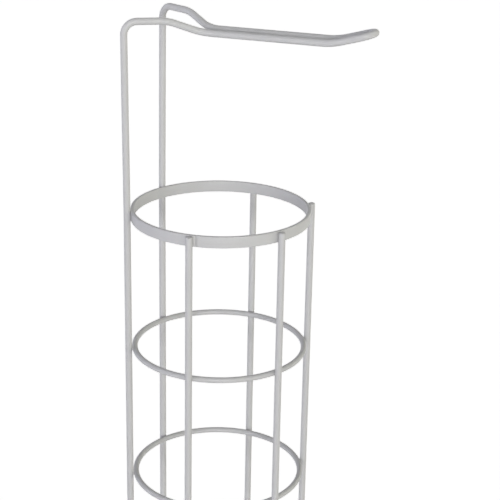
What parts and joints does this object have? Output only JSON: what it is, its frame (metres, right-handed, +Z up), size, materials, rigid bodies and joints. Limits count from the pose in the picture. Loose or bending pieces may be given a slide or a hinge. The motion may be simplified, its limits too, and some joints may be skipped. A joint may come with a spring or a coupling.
{
  "type": "toilet roll holder",
  "caption": "Free-standing wire cage that stores spare toilet rolls, with a raised bent-wire arm that carries the roll in use.",
  "frame": {"origin": "on the floor, under the middle of the part's bounding box", "axes": "+Z up, +X along the arm towards its tip, +Y to the left of the arm"},
  "size_m": [0.2098, 0.172, 0.6845],
  "materials": {
    "coated_wire": "satin powder coat",
    "foot_plastic": "moulded, matte"
  },
  "bodies": {
    "root": {"arm_frame": "coated_wire", "post_left": "coated_wire", "post_right": "coated_wire", "post_front_left": "coated_wire", "post_front_right": "coated_wire", "top_band": "coated_wire", "hoop_upper": "coated_wire", "hoop_middle": "coated_wire", "hoop_lower": "coated_wire", "base_hoop": "coated_wire", "base_wire_front": "coated_wire", "base_wire_back": "coated_wire", "base_wire_left": "coated_wire", "base_wire_right": "coated_wire", "foot_cap_left": "foot_plastic", "foot_cap_right": "foot_plastic", "foot_cap_front_left": "foot_plastic", "foot_cap_front_right": "foot_plastic", "foot_cap_back_left": "foot_plastic", "foot_cap_back_right": "foot_plastic"}
  },
  "joints": []
}
